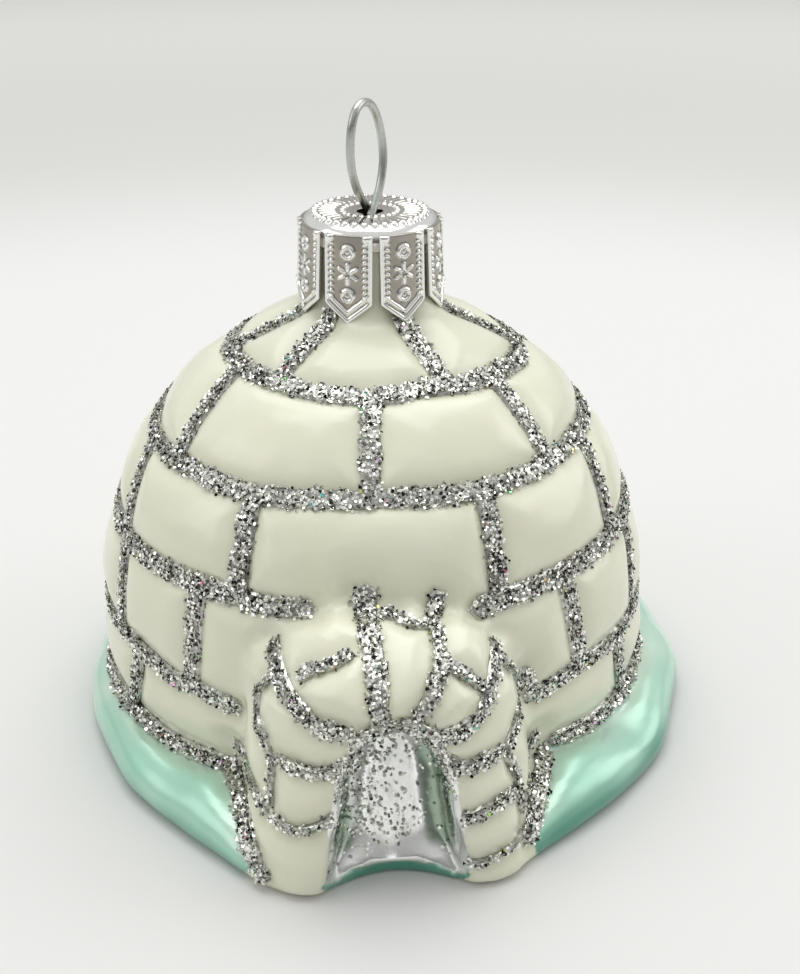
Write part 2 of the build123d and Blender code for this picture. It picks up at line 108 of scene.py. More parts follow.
# Lines on the porch: a node and its lines, each a width and points along it.
PORCH_LINES = (
    ("porch_brow",
     (2.0, (-13.2, -29.2, 23.3), (-12.9, -32.3, 22.7), (-12.4, -34.9, 21.7),
      (-11.0, -37.7, 20.3), (-9.0, -40.1, 19.4), (-5.4, -41.8, 19.0)),
     (1.3, (-5.4, -41.8, 19.0), (-2.0, -42.3, 19.5), (0.4, -41.9, 19.9), (3.1, -41.8, 18.6)),
     (1.9, (3.1, -41.8, 18.2), (5.2, -41.1, 18.1), (7.2, -39.9, 18.8), (8.5, -38.5, 19.6),
      (9.3, -36.8, 20.8), (10.0, -34.1, 22.2), (10.5, -31.0, 23.1))),
    ("keystones",
     (2.3, (-4.4, -29.4, 28.0), (-3.3, -31.0, 27.2), (-3.1, -35.0, 26.0), (-2.9, -37.3, 25.1),
      (-2.9, -39.4, 23.8), (-2.9, -40.8, 22.4), (-2.7, -41.8, 20.6)),
     (1.7, (4.2, -29.8, 27.2), (3.6, -32.1, 26.2), (3.9, -34.8, 25.5), (3.9, -37.1, 24.5),
      (3.3, -39.2, 23.3), (2.1, -41.0, 21.7), (0.8, -41.7, 20.4)),
     (1.4, (-2.3, -31.6, 26.8), (-0.7, -31.4, 26.8), (0.8, -32.8, 26.5), (2.6, -33.0, 26.3),
      (3.8, -31.9, 26.2)),
     (2.6, (-4.3, -29.9, 27.8), (-3.3, -29.9, 28.0), (-2.3, -30.6, 27.2)),
     (2.4, (3.4, -30.6, 26.8), (4.4, -30.1, 27.0), (5.2, -30.1, 26.6)),
     (1.6, (-10.8, -36.4, 22.5), (-9.4, -36.3, 23.6), (-7.2, -36.7, 24.4), (-4.8, -36.0, 25.4)),
     (1.4, (4.1, -37.1, 24.5), (5.4, -37.6, 23.6), (7.0, -37.8, 22.4), (8.7, -37.5, 20.6))),
    ("porch_lines_left",
     (1.4, (-13.3, -37.8, 14.2), (-11.6, -39.6, 14.2), (-9.6, -40.9, 14.3), (-7.2, -41.9, 15.0)),
     (1.1, (-14.0, -39.2, 8.4), (-12.5, -40.9, 7.7), (-10.3, -42.0, 8.1), (-8.3, -42.4, 9.0),
      (-7.0, -42.2, 9.7))),
    ("porch_lines_right",
     (1.6, (4.0, -42.0, 14.9), (5.9, -41.5, 14.3), (8.4, -40.3, 14.1), (10.6, -38.4, 13.9)),
     (1.5, (4.8, -42.3, 8.7), (6.4, -42.4, 8.6), (8.8, -41.5, 8.9), (11.0, -39.7, 9.1),
      (12.2, -38.3, 8.8)),
     (0.8, (4.6, -42.4, 2.9), (6.2, -42.9, 3.1), (9.0, -42.5, 3.5), (11.6, -41.0, 3.8),
      (12.8, -39.4, 4.6))),
    ("corner_left",
     (1.0, (-13.3, -33.4, 21.5), (-14.9, -32.0, 18.4), (-15.1, -32.8, 15.8),
      (-14.4, -35.6, 14.9), (-13.8, -37.5, 13.6), (-14.0, -38.2, 11.2), (-14.0, -39.0, 8.8))),
    ("corner_right",
     (1.1, (10.3, -33.6, 22.0), (12.4, -31.2, 18.4), (13.2, -31.6, 15.0), (11.9, -36.4, 14.4),
      (11.0, -38.2, 13.2), (12.0, -37.8, 10.5), (12.2, -38.5, 8.0), (12.9, -38.6, 5.8))),
    ("ground_left",
     (1.0, (-17.7, -27.6, 9.4), (-16.5, -30.4, 8.4), (-15.3, -36.2, 8.8), (-14.3, -38.9, 7.9)),
     (2.1, (-17.9, -27.7, 7.4), (-17.6, -28.9, 5.6), (-16.9, -32.1, 4.6), (-16.2, -36.4, 4.2),
      (-15.8, -38.6, 3.1), (-14.9, -41.1, 1.7), (-14.5, -41.7, 1.3))),
    ("ground_right",
     (1.2, (15.6, -28.2, 9.2), (15.0, -30.2, 7.4), (14.2, -34.6, 6.6), (13.0, -38.0, 6.4)),
     (2.0, (17.0, -27.8, 6.6), (16.0, -30.7, 5.1), (15.1, -33.3, 4.3), (13.6, -37.8, 4.0),
      (12.9, -40.0, 2.8))),)

GLUE_PROUD = 0.62  # how far a line stands out
GLUE_ROOT = 0.35  # and how far it reaches into the glass
LINE_VALLEY, VALLEY_REACH = 0.6, 1.7  # the blocks fall away towards the lines
BLOCK_CREST, CREST_REACH = 0.5, 3.0
LANES = 8  # strips across a line of glue

# Unevenness of the blown glass: size, height and seed of each noise.
ENAMEL_WAVES = ((7.0, 0.22, 1), (2.6, 0.06, 2))
LACQUER_WAVES, LACQUER_SINK = ((10.0, 0.40, 3), (4.0, 0.10, 4)), 0.15
SILVER_WAVES = ((3.5, 0.05, 5),)

FLAKE_R, FLAKE_DEPTH, FLAKE_TILT = 0.19, 0.12, 0.36  # corner radius, depth, lean
FLAKE_POINTS = 7  # its six corners and its tip
FLAKE_STRAY, FLAKE_LIFT = 0.16, (0.02, 0.20)  # aside, and off the glue
GLINT_TONE, DULL, DARK_REFLECTION_TONE, TINTED = (0.9, 1.0), (0.3, 0.55), (0.015, 0.09), 0.006  # painted glint, mid and painted dark-reflection tones, tinted share
FLAKES_PER_MM2 = 14.0
DOORWAY_FLAKES = 4000

CAP_TOP_Z, CAP_RIM_R, CAP_FLARE, CAP_SHEET = 60.15, 7.75, 0.4, 0.35
CAP_HOLE_R, CAP_BOTTOM_Z, CROWN_END_Z, SHOULDER_R = 1.5, 49.5, 57.45, 1.9
CROWN_DROP, RIB_COUNT, RIB_HEIGHT = 4, 36, 0.16  # rows down the crown's edge, its ribs
# Beads on the crown: radius of the row, number, place of the first, reach and height.
CROWN_BEADS = ((6.3, 36, 0.5, 0.46, 0.28), (3.1, 24, 0.0, 0.34, 0.2))
PRONG_COUNT, PRONG_GAP, PRONG_TIP_H = 8, 0.8, 2.2
PRONG_ROOT_Z, PRONG_UNDER, PRONG_OUT = 59.0, 0.25, 0.12
PRONG_RINGS, PRONG_STAR, TIP_SLOPE = (1.85, 6.65), 4.2, 0.77  # down each prong

WIRE_R, LOOP_TURN, LOOP_LEAN, WIRE_SIDES = 0.475, 59.0, 1.4, 16
# Half the wire, from a leg's end to the top: how far aside, and height.
WIRE_HALF = ((5.3, 51.2), (5.3, 54.5), (4.4, 57.0), (1.6, 58.9), (0.4, 60.2), (-0.7, 61.3),
             (-1.9, 62.9), (-2.8, 65.2), (-3.05, 67.6), (-2.7, 70.0), (-1.65, 71.6),
             (0.0, 72.12))

# Lights: name, place, aim, width and height in metres, watts. The card, low in front, shows
# in the doorway's silver.
LIGHTS = (("above", (0.03, 0.20, 0.74), (0, 0, 0.03), (0.70, 0.70), 3.5),
          ("window", (-0.34, 0.13, 0.70), (0, 0, 0.03), (0.13, 0.13), 0.12),
          ("left", (-0.66, -0.10, 0.40), (0, 0, 0.03), (0.45, 0.45), 0.73),
          ("right", (0.62, 0.06, 0.34), (0, 0, 0.03), (0.40, 0.40), 0.79),
          ("card", (0.0166, -0.25, 0.031), (0, 0, 0.031), (0.014, 0.06), 0.0042))

# The floor's tone at the object, then how many metres off another begins and is reached: painted
# shade, a grey ring round the object that is pale again further off.
FLOOR_NEAR = (0.715, 0.715, 0.70, 1)
FLOOR_SHADE_RING = ((0.17, 0.31, (0.59, 0.59, 0.57, 1)), (0.34, 0.64, (0.72, 0.72, 0.69, 1)))


# --- Camera and studio ---

def add_object(name, data):
    item = bpy.data.objects.new(name, data)
    bpy.context.scene.collection.objects.link(item)
    return item


def add_camera():
    """A camera at the viewing angle: a little left of the doorway, looking down."""
    data = bpy.data.cameras.new("camera")
    data.lens, data.sensor_width, data.clip_start = 53.93, 36, 0.01
    camera = add_object("camera", data)
    camera.location = (-12.55 * MM, -159.51 * MM, 102.13 * MM)
    camera.rotation_euler = (math.radians(90 - 25.47), 0, math.radians(-5.7))
    bpy.context.scene.camera = camera


def nodes_of(owner):
    """The emptied node tree of a material or world."""
    owner.use_nodes = True
    owner.node_tree.nodes.clear()
    return owner.node_tree


def plug(tree, socket, value):
    """Sets an input to a value, or links it to another node's output."""
    if isinstance(value, bpy.types.NodeSocket):
        tree.links.new(value, socket)
    else:
        socket.default_value = value


def add_node(tree, kind, operation=None, **inputs):
    """A node with some of its inputs plugged, each by its name or as _ and its number."""
    node = tree.nodes.new(kind)
    if operation:
        node.operation = operation
    for name, value in inputs.items():
        key = int(name[1:]) if name[1:].isdigit() else name.replace("_", " ")
        plug(tree, node.inputs[key], value)
    return node


def mix_colour(tree, factor, first, second, kind="RGBA"):
    node = tree.nodes.new("ShaderNodeMix")
    node.data_type = kind
    for name, value in (("Factor", factor), ("A", first), ("B", second)):
        plug(tree, node.inputs[name], value)
    return node.outputs["Result"]


def mix_value(tree, factor, first, second):
    return mix_colour(tree, factor, first, second, "FLOAT")


def map_range(tree, value, smooth=False, **limits):
    """A value mapped from 0 to 1 onto 0 to 1, or from and to the limits given."""
    node = add_node(tree, "ShaderNodeMapRange", Value=value, **limits)
    if smooth:
        node.interpolation_type = "SMOOTHSTEP"
    return node.outputs["Result"]


def add_shader(tree, **inputs):
    """The material's Principled shader, joined to its output."""
    shader = add_node(tree, "ShaderNodeBsdfPrincipled", **inputs)
    add_node(tree, "ShaderNodeOutputMaterial", Surface=shader.outputs["BSDF"])


def add_floor():
    """Pale floor with painted shade: a grey ring round the object, pale again further off."""
    corners = [(-3, -3, 0), (3, -3, 0), (3, 3, 0), (-3, 3, 0)]
    floor_mesh = bpy.data.meshes.new("floor")
    floor_mesh.from_pydata(corners, [], [(0, 1, 2, 3)])
    floor = add_object("floor", floor_mesh)

    material = bpy.data.materials.new("floor_paper")
    tree = nodes_of(material)
    place = add_node(tree, "ShaderNodeNewGeometry")
    away = add_node(tree, "ShaderNodeVectorMath", "LENGTH", _0=place.outputs["Position"])
    colour = FLOOR_NEAR
    for near, far, tone in FLOOR_SHADE_RING:
        share = map_range(tree, away.outputs["Value"], True, From_Min=near, From_Max=far)
        colour = mix_colour(tree, share, colour, tone)
    add_shader(tree, Base_Color=colour, Roughness=0.75)
    floor_mesh.materials.append(material)


def add_lights():
    """Soft lights that the camera doesn't see, and a sky that is palest overhead."""
    for name, place, aim, (width, height), power in LIGHTS:
        data = bpy.data.lights.new(name, "AREA")
        data.shape, data.size, data.size_y = "RECTANGLE", width, height
        data.energy = power
        light = add_object(name, data)
        light.location = place
        light.rotation_euler = (Vector(place) - Vector(aim)).to_track_quat("Z", "Y").to_euler()
        light.visible_camera = False

    world = bpy.data.worlds.new("studio")
    bpy.context.scene.world = world
    tree = nodes_of(world)
    around = add_node(tree, "ShaderNodeTexCoord")
    towards = add_node(tree, "ShaderNodeVectorMath", "DOT_PRODUCT",
                       _0=around.outputs["Generated"], _1=(0.0, 0.22, 1.0))
    tone = map_range(tree, towards.outputs["Value"], From_Min=-0.1, From_Max=0.45,
                     To_Min=0.19, To_Max=0.67)
    plain = add_node(tree, "ShaderNodeBackground", Color=tone)
    add_node(tree, "ShaderNodeOutputWorld", Surface=plain.outputs["Background"])
    bpy.context.scene.view_settings.view_transform = "Standard"


# --- The glass's form, as a field: below 0 inside, about millimetres ---

def smooth_min(a, b, reach):
    """The lower of two fields, blended where they are within reach."""
    share = np.clip(0.5 + 0.5 * (b - a) / reach, 0, 1)
    return b + (a - b) * share - reach * share * (1 - share)


def smooth_max(a, b, reach):
    return -smooth_min(-a, -b, reach)


def round_max(a, b, radius):
    """The higher of two fields, with their edge rounded to a radius."""
    a, b = a + radius, b + radius
    return np.hypot(np.maximum(a, 0), np.maximum(b, 0)) + np.minimum(np.maximum(a, b), 0) - radius


def dome_field(x, y, z):
    across = np.hypot(x, y) / DOME_R
    up = np.clip((z - FOOT_Z) / DOME_RISE, 0, None)
    slope_across = CROWN / DOME_R * across ** (CROWN - 1)
    slope_up = SWELL / DOME_RISE * up ** (SWELL - 1)
    slope = np.sqrt(slope_across ** 2 + slope_up ** 2 + 1e-5)
    body = (across ** CROWN + up ** SWELL - 1) / slope
    neck = round_max(np.hypot(x, y) - NECK_R, z - NECK_H, LIP_ROUND)
    bore = round_max(np.hypot(x, y) - BORE_R, BORE_Z - z, 1.0)
    return np.maximum(smooth_min(body, neck, NECK_BLEND), -bore)


def foot_field(x, y, z):
    total = 0
    for bearing, distance in FOOT_SIDES:
        turn = math.radians(bearing)
        beyond = x * math.sin(turn) - y * math.cos(turn) - distance
        total = total + np.exp(np.clip(beyond / FOOT_SOFT, -30, 30))
    sides = FOOT_SOFT * np.log(total + 1e-12)
    share = np.clip((np.hypot(x, y) - DOME_R) / (FOOT_EDGE_R - DOME_R), -0.2, 1.2)
    top = z - FOOT_Z - (FOOT_EDGE_Z - FOOT_Z) * share
    for dent_x, dent_y, reach, height in FOOT_DENTS:
        top = top - height * np.exp(-((x - dent_x) ** 2 + (y - dent_y) ** 2) / reach ** 2)
    return smooth_max(smooth_max(sides, top, FOOT_ROLL), -z, FOOT_HEM)


def porch_field(x, y, z):
    share = np.clip((z - PORCH_Z) / (BROW_Z - PORCH_Z), 0, 1)
    back, front, face, corner = (low + (high - low) * share
                                 for low, high in zip(GROUND_PLAN, BROW_PLAN))
    taper = (front - back) / (face - PORCH_BACK_Y)
    side = (np.abs(x - PORCH_X) - back - taper * (y - PORCH_BACK_Y)) / np.hypot(1, taper)
    walls = np.maximum(round_max(side, face - y, corner), y - PORCH_END_Y)
    walls = smooth_max(np.maximum(walls, z - BROW_Z), PORCH_Z - z, 1.6)
    plan = (x - PORCH_X) ** 2 + (y - HOOD_Y) ** 2
    rise = (z - BROW_Z) ** 2
    span = np.sqrt(plan / HOOD_R ** 2 + rise / HOOD_RISE ** 2)
    slope = np.sqrt(plan / HOOD_R ** 4 + rise / HOOD_RISE ** 4 + 1e-9)
    hood = span * (span - 1) / slope
    return smooth_min(walls, hood, 1.2)


def door_field(x, y, z, slant=DOOR_SLANT):
    """The arched doorway: below 0 in its air."""
    aside = np.abs(x - PORCH_X)
    lean = np.clip((z - DOOR_FLOOR_Z) / (DOOR_SPRING_Z - DOOR_FLOOR_Z), 0, 1)
    upright = aside - (DOOR_HALF - DOOR_LEAN * lean)
    half, rise = DOOR_HALF - DOOR_LEAN, DOOR_TOP_Z - DOOR_SPRING_Z
    arch = (np.hypot(aside / half, np.maximum(z - DOOR_SPRING_Z, 0) / rise) - 1) * half
    outline = np.where(z > DOOR_SPRING_Z, arch, upright)
    outline = smooth_max(outline, DOOR_FLOOR_Z - z, 1.5)
    low = 1 - np.clip((z - DOOR_FLOOR_Z) / SLANT_RISE, 0, 1)
    return round_max(outline, y - DOOR_BACK_Y + slant * low, DOOR_ROUND)


def step_field(x, y, z):
    """The scoop between the porch's two feet."""
    plan = np.hypot(x - PORCH_X, y - (GROUND_PLAN[2] + STEP_REACH - STEP_R)) - STEP_R
    return smooth_max(plan, z - STEP_TOP_Z, 2.5)


def outside_field(x, y, z):
    body = smooth_min(dome_field(x, y, z), porch_field(x, y, z), PORCH_BLEND)
    body = smooth_min(body, foot_field(x, y, z), FOOT_BLEND)
    return np.maximum(smooth_max(body, -step_field(x, y, z), STEP_BLEND), -z)


def igloo_field(points):
    x, y, z = np.moveaxis(points, -1, 0)
    return smooth_max(outside_field(x, y, z), -door_field(x, y, z), DOOR_LIP)


def ease(low, high, value):
    """0 to 1, eased, as the value goes from low to high."""
    share = np.clip((value - low) / (high - low), 0, 1)
    return share * share * (3 - 2 * share)


def unit(vectors):
    return vectors / np.linalg.norm(vectors, axis=-1, keepdims=True)


def settle(points, rounds=3):
    """Points moved onto the form's surface, and the surface's normals there."""
    step = 0.02

    def slope_at(places):
        return np.stack([igloo_field(places + move) - igloo_field(places - move)
                         for move in np.eye(3) * step], -1) / (2 * step)

    for _ in range(rounds):
        slope = slope_at(points)
        length2 = np.maximum((slope ** 2).sum(-1), 0.05)
        move = np.clip(igloo_field(points) / length2, -1.5, 1.5)
        points = points - move[..., None] * slope
    return points, unit(slope_at(points))


def smooth_noise(points, scale, seed):
    """Perlin noise of about -1 to 1 at each point."""
    offset = Vector((seed * 17.3, seed * 5.1, seed * 9.7))
    flat = points.reshape(-1, 3) / scale
    values = [noise.noise(Vector(p) + offset) for p in flat.tolist()]
    return np.array(values).reshape(points.shape[:-1])


def waves(points, terms):
    """A sum of noises, each given as its size, height and seed."""
    return sum(height * smooth_noise(points, scale, seed) for scale, height, seed in terms)


# --- Mesh of a field ---

def surface_nets(low, high, step):
    """The form's surface as vertices in millimetres and outward quads."""
    counts = np.ceil((high - low) / step).astype(int) + 1
    axes = [low[i] + step * np.arange(counts[i]) for i in range(3)]
    values = np.empty(counts, np.float32)
    for slab in np.array_split(np.arange(counts[0]), 16):
        grid = np.stack(np.meshgrid(axes[0][slab], axes[1], axes[2], indexing="ij"), -1)
        values[slab] = igloo_field(grid)
    inside = values < 0

    corners = [np.array([i, j, k]) for i in (0, 1) for j in (0, 1) for k in (0, 1)]
    cut = [slice(0, -1), slice(1, None)]
    filled = sum(inside[cut[i], cut[j], cut[k]].astype(np.uint8) for i, j, k in corners)
    mixed = (filled > 0) & (filled < 8)
    cells = np.argwhere(mixed)
    number = np.full(mixed.shape, -1, np.int64)
    number[mixed] = np.arange(len(cells))

    at_corner = [values[tuple((cells + corner).T)] for corner in corners]
    total = np.zeros((len(cells), 3))
    crossings = np.zeros(len(cells))
    for a in range(8):
        for b in range(a + 1, 8):
            along = corners[b] - corners[a]
            if np.abs(along).sum() != 1:
                continue
            crossed = (at_corner[a] < 0) != (at_corner[b] < 0)
            gap = np.where(crossed, at_corner[a] - at_corner[b], 1)
            share = at_corner[a] / gap
            spot = corners[a] + share[:, None] * along
            total += np.where(crossed[:, None], spot, 0)
            crossings += crossed
    vertices = low + step * (cells + total / crossings[:, None])

    quads = []
    for axis in range(3):
        beside, above = (axis + 1) % 3, (axis + 2) % 3
        first = np.take(inside, np.arange(counts[axis] - 1), axis)
        second = np.take(inside, np.arange(1, counts[axis]), axis)
        spots = np.argwhere(first != second)
        clear = np.all([(spots[:, i] >= 1) & (spots[:, i] < counts[i] - 1)
                        for i in (beside, above)], axis=0)
        spots = spots[clear]
        u, v = np.eye(3, dtype=int)[beside], np.eye(3, dtype=int)[above]
        ring = np.stack([number[tuple((spots - move).T)] for move in (0 * u, u, u + v, v)], 1)
        outward = first[tuple(spots.T)]
        quads.append(np.where(outward[:, None], ring, ring[:, ::-1]))
    return vertices, np.concatenate(quads)


def joined(parts):
    """Several meshes, each its vertices and arrays of corners, as one."""
    vertices, faces, start = [], [], 0
    for points, groups in parts:
        vertices.append(points)
        faces += [group + start for group in groups]
        start += len(points)
    return np.concatenate(vertices), faces


def make_object(name, vertices, faces, smooth=True, **marks):
    """A mesh object from millimetres, arrays of corners and values for each vertex."""
    mesh = bpy.data.meshes.new(name)
    mesh.from_pydata((vertices * MM).tolist(), [], [f for part in faces for f in part.tolist()])
    if smooth:
        mesh.shade_smooth()
    for mark, values in marks.items():
        attribute = mesh.attributes.new(mark, "FLOAT", "POINT")
        attribute.data.foreach_set("value", np.asarray(values, np.float32))
    return add_object(name, mesh)


# --- Paths of the glitter lines ---

def dome_radius(z):
    up = np.clip((z - FOOT_Z) / DOME_RISE, 0, 1)
    return DOME_R * (1 - up ** SWELL) ** (1 / CROWN)


def dome_point(bearing, z):
    turn = np.radians(bearing)
    return np.stack([dome_radius(z) * np.sin(turn), -dome_radius(z) * np.cos(turn), z], -1)


def curve_through(points, count):
    """Even samples of a smooth curve through a few points (Catmull-Rom)."""
    points = np.asarray(points, float)
    ends = np.vstack([2 * points[0] - points[1], points, 2 * points[-1] - points[-2]])
    t = np.linspace(0, len(points) - 1, count)
    i = np.minimum(t.astype(int), len(points) - 2)
    t = (t - i)[:, None]
    a, b, c, d = (ends[i + k] for k in range(4))
    return 0.5 * (2 * b + (c - a) * t + (2 * a - 5 * b + 4 * c - d) * t ** 2
                  + (3 * b - 3 * c + d - a) * t ** 3)


def evenly(points, spacing):
    """A path resampled at about an even spacing."""
    lengths = np.linalg.norm(np.diff(points, axis=0), axis=1)
    along = np.concatenate([[0], np.cumsum(lengths)])
    marks = np.linspace(0, along[-1], max(int(along[-1] / spacing) + 1, 4))
    return np.stack([np.interp(marks, along, points[:, i]) for i in range(3)], -1)


def ring_height(bearings, heights, bearing):
    """Height of a ring where it passes a bearing, or at its nearest end."""
    apart = np.abs((bearings - bearing + 180) % 360 - 180)
    return heights[np.argmin(apart)]


def glue_paths():
    """Every line as (node, width, points on the surface, normals)."""
    lines, levels = [], []
    for node, width, *places in RINGS:
        bearings, heights = curve_through(places, 400).T
        levels.append((bearings, heights))
        lines.append((node, width, dome_point(bearings, heights)))
    levels.append((np.array([0.0]), np.array([RIM_Z])))
    for course, joints in enumerate(JOINTS):
        for foot_bearing, head_bearing in joints:
            share = np.linspace(0, 1, 30)
            bearings = foot_bearing + (head_bearing - foot_bearing) * share
            low, high = (ring_height(*levels[course + end], bearings[-end]) for end in (0, 1))
            heights = low + (high - low) * share
            lines.append((f"joints_{course + 1}", JOINT_WIDTH, dome_point(bearings, heights)))
    for node, *porch_lines in PORCH_LINES:
        for width, *points in porch_lines:
            lines.append((node, width, curve_through(points, 60)))
    traced = []
    for node, width, points in lines:
        for _ in range(2):
            points, normals = settle(evenly(points, TRACE))
        traced.append(("glitter_" + node, width, points, normals))
    return traced


def block_crest(distance):
    """How far a block stands out, by the distance to its nearest line."""
    return BLOCK_CREST * (1 - np.exp(-(distance / CREST_REACH) ** 2))


def line_valley(distance):
    """How far the glass falls away near a line."""
    return -LINE_VALLEY * np.exp(-(distance / VALLEY_REACH) ** 2)


# --- Blown glass ---

def nearest_line(paths, vertices):
    """Distance from each vertex to the nearest line of glue."""
    points = np.concatenate([line[2] for line in paths])
    tree = KDTree(len(points))
    for index, point in enumerate(points):
        tree.insert(point, index)
    tree.balance()
    return np.array([tree.find(v)[2] for v in vertices.tolist()])


def glass_marks(points):
    """Paint (above 0 on the enamel), lining (below 0 in the doorway), dome; and the scoop."""
    x, y, z = points.T
    dome, porch, foot = dome_field(x, y, z), porch_field(x, y, z), foot_field(x, y, z)
    paint = foot - np.minimum(dome, porch - 0.6)
    lining = door_field(x, y, z, 0) + outside_field(x, y, z) - SILVER_OUT
    step, above_floor = step_field(x, y, z), z - DOOR_FLOOR_Z

    # Brim and sill are below 0 on the scoop and along its edge, which are teal.
    brim = np.maximum.reduce([step - 0.5, np.abs(x - PORCH_X) - STEP_HALF, above_floor + 0.4])
    sill = np.maximum(np.abs(step) - 0.9, above_floor + 0.3)
    lining = np.maximum(lining, -brim)
    paint = np.minimum(paint, 2 * np.minimum(sill, brim))
    return {"paint": paint, "lining": lining, "dome": dome - porch}, step


def glass_relief(points, distance, paint, lining):
    """How far the glass stands out from the form; its underside stays flat."""
    z = points[:, 2]
    glazed = ease(-0.8, 0.8, lining)  # 0 in the doorway
    enamel = ease(-0.3, 1.5, paint) * glazed * (1 - ease(0.4, 1.6, z - RIM_Z))
    teal = ease(0.3, -1.5, paint) * ease(0.4, 1.5, z) * glazed
    relief = enamel * (block_crest(distance) + waves(points, ENAMEL_WAVES))
    relief += teal * (waves(points, LACQUER_WAVES) - LACQUER_SINK)
    relief += line_valley(distance) * ease(-1.5, 0.5, lining) * ease(0.2, 1.2, z)
    relief += ease(0.5, -1.5, lining) * waves(points, SILVER_WAVES)
    return relief * ease(0.0, 0.8, z)


def lacquer_tone_and_painted_shade(points, distance, step):
    """Below 0: painted shade low round the foot's rim, and in the scoop under the doorway; above 0
    where the lacquer is thin.
    """
    x, z = points[:, 0], points[:, 2]
    cloud = smooth_noise(points, 8.0, 6)
    # Painted shade, darker towards the foot's bottom edge.
    painted_rim_shade = ease(3.4, 1.0, z + 0.6 * cloud - ease(8, 20, x))
    painted_rim_shade = painted_rim_shade * (0.6 + 0.4 * ease(-8, 10, x))  # more painted shade on the right
    # Painted shade in the scoop under the doorway.
    painted_scoop_shade = ease(1.3, 0.1, step) * ease(-1.6, -1.2, step)
    painted_rim_shade = np.maximum(painted_rim_shade, painted_scoop_shade)
    thin = 0.7 * np.exp(-(distance / 2.2) ** 2) + 0.6 * np.clip(cloud, 0, 1)  # by the glue
    return np.clip(thin, 0, 1) * (1 - painted_rim_shade) - painted_rim_shade


def silver_painted_light(points, lining):
    """Below 0: painted shade on the doorway's silver at its sides; above 0: a painted reflection,
    a bright streak between.
    """
    right, z = points[:, 0] - PORCH_X, points[:, 2]
    upward = np.clip((z - 2) / 15, 0, 1)
    begin, bound = -3.5 + 4.3 * upward, 3.4 - 1.6 * upward  # the painted reflection's two edges
    # Painted shade at the doorway's right, and at its left, darkest low down.
    painted_shade_right = ease(bound, bound + 0.8, right) * ease(18.0, 15.0, z)
    painted_shade_left = ease(3.4, 4.8, -right) * (0.5 + 0.5 * ease(9.0, 6.5, z))
    # Painted reflection: a bright streak up the doorway's back.
    painted_reflection = (ease(begin - 2.0, begin + 0.8, right)
            * ease(bound + 0.2, bound - 0.5, right) * ease(18.0, 15.5, z))
    return (painted_reflection - np.maximum(painted_shade_right, painted_shade_left)) * ease(-1.2, -2.4, lining)


def build_glass(paths):
    """The whole form's displaced mesh, with what its materials need at each vertex."""
    vertices, quads = surface_nets(np.array(MESH_LOW), np.array(MESH_HIGH), GRID)
    vertices, normals = settle(vertices)
    distance = nearest_line(paths, vertices)
    marks, step = glass_marks(vertices)
    lining = marks["lining"]
    # On the silvering painted shade and a painted reflection; on the lacquer painted shade and its
    # paler tone.
    marks["shade"] = np.where(lining < 0, silver_painted_light(vertices, lining),
                              lacquer_tone_and_painted_shade(vertices, distance, step))
    relief = glass_relief(vertices, distance, marks["paint"], lining)
    return vertices + relief[:, None] * normals, quads, marks


def split_glass(vertices, quads, marks):
    """Parts the glass along its paint lines into four closed pieces of glass."""
    a, b, c, d = (vertices[quads[:, i]] for i in range(4))
    flat = np.cross(c - a, d - b)
    normals = np.zeros_like(vertices)
    for i in range(4):
        np.add.at(normals, quads[:, i], flat)
    normals = unit(normals)

    middle = {name: values[quads].mean(1) for name, values in marks.items()}
    height = vertices[quads][..., 2].mean(1)
    niche = middle["lining"] < -NICHE_IN - SILVER_OUT
    foot = ~niche & ((middle["paint"] < -0.5) | (height < 0.35))
    dome = ~niche & ~foot & (middle["dome"] < 0)
    porch = ~niche & ~foot & ~dome
    pieces = []
    for name, chosen in (("dome_enamel", dome), ("porch_enamel", porch),
                         ("doorway_silvering", niche), ("foot_lacquer", foot)):
        used, faces = np.unique(quads[chosen], return_inverse=True)
        faces = faces.reshape(-1, 4)
        count = len(used)
        shell = np.vstack([vertices[used], vertices[used] - GLASS * normals[used]])
        edges = np.concatenate([faces[:, [i, (i + 1) % 4]] for i in range(4)])
        key = edges[:, 0] * count + edges[:, 1]
        back = edges[:, 1] * count + edges[:, 0]
        rim = edges[~np.isin(key, back)]
        rims = np.stack([rim[:, 1], rim[:, 0], rim[:, 0] + count, rim[:, 1] + count], 1)
        both = {mark: np.tile(marks[mark][used], 2) for mark in ("paint", "lining", "shade")}
        item = make_object(name, shell, [faces, faces[:, ::-1] + count, rims], **both)
        shading = np.vstack([normals[used], -normals[used]])
        item.data.normals_split_custom_set_from_vertices(shading.tolist())
        pieces.append(item)
    return pieces


# --- Glitter ---

